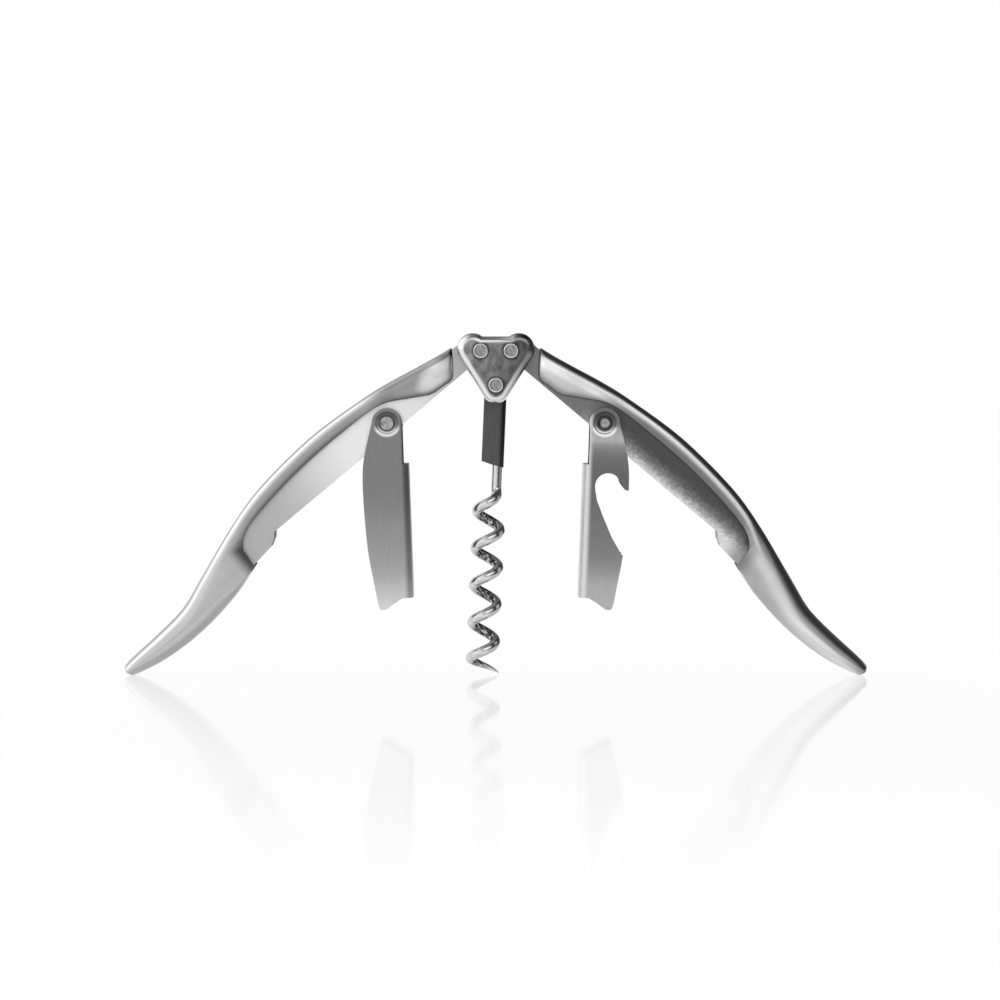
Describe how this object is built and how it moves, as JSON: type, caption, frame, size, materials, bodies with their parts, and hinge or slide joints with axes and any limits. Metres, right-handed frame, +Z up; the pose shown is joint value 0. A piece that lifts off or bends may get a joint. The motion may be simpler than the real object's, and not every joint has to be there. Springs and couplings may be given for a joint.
{
  "type": "wing corkscrew",
  "caption": "Steel corkscrew with two spread handles, folding bottle-rest levers, a bottle opener and a coiled worm hanging from the riveted head.",
  "frame": {"origin": "on the table, midway between the two spread handles and in the middle of the depth", "axes": "+X along the span towards the lever with the bottle opener, +Y into the depth, away from the viewer of the picture, +Z up"},
  "size_m": [0.1904, 0.0178, 0.0876],
  "materials": {
    "cover_steel": "satin, with a bright rounded edge",
    "rivet_steel": "turned, slightly dull",
    "bush_steel": "turned",
    "shell_steel": "satin, bead blasted",
    "liner_steel": "satin, brushed along",
    "lever_steel": "brushed down its length",
    "tang_steel": "dark, brushed",
    "worm_steel": "polished"
  },
  "bodies": {
    "head": {"head_cover_front": "cover_steel", "head_cover_rear": "cover_steel", "left_hinge_rivet": "rivet_steel", "right_hinge_rivet": "rivet_steel", "worm_rivet": "rivet_steel", "left_hinge_bush": "bush_steel", "right_hinge_bush": "bush_steel", "worm_collar_front": "bush_steel", "worm_collar_rear": "bush_steel"},
    "left_handle": {"left_handle_shell": "shell_steel", "left_handle_liner": "liner_steel", "left_lever_bush": "bush_steel"},
    "left_lever": {"left_lever": "lever_steel", "left_lever_rivet": "rivet_steel"},
    "right_handle": {"right_handle_shell": "shell_steel", "right_handle_liner": "liner_steel", "right_lever_bush": "bush_steel"},
    "right_lever": {"right_lever": "lever_steel", "right_lever_rivet": "rivet_steel"},
    "worm": {"worm_tang": "tang_steel", "worm_screw": "worm_steel"}
  },
  "joints": [
    {"name": "left_handle_hinge", "type": "hinge", "parent": "head", "child": "left_handle", "pos_m": [-0.00385, 0, 0.08314], "axis": [0, 1, 0], "range_deg": [-37, 72]},
    {"name": "left_lever_swing", "type": "hinge", "parent": "left_handle", "child": "left_lever", "pos_m": [-0.02771, 0, 0.06475], "axis": [0, 1, 0], "range_deg": [-86.4, 44.4]},
    {"name": "right_handle_hinge", "type": "hinge", "parent": "head", "child": "right_handle", "pos_m": [0.00385, 0, 0.08314], "axis": [0, 1, 0], "range_deg": [-72, 37]},
    {"name": "right_lever_swing", "type": "hinge", "parent": "right_handle", "child": "right_lever", "pos_m": [0.02771, 0, 0.06475], "axis": [0, 1, 0], "range_deg": [-44.4, 86.4]},
    {"name": "worm_swing", "type": "hinge", "parent": "head", "child": "worm", "pos_m": [0, 0, 0.07444], "axis": [0, 1, 0], "range_deg": [-7.2, 2.4]}
  ],
  "couplings": [
    {"joint": "left_lever_swing", "follows": "left_handle_hinge", "ratio": -1.2},
    {"joint": "right_lever_swing", "follows": "right_handle_hinge", "ratio": -1.2}
  ]
}
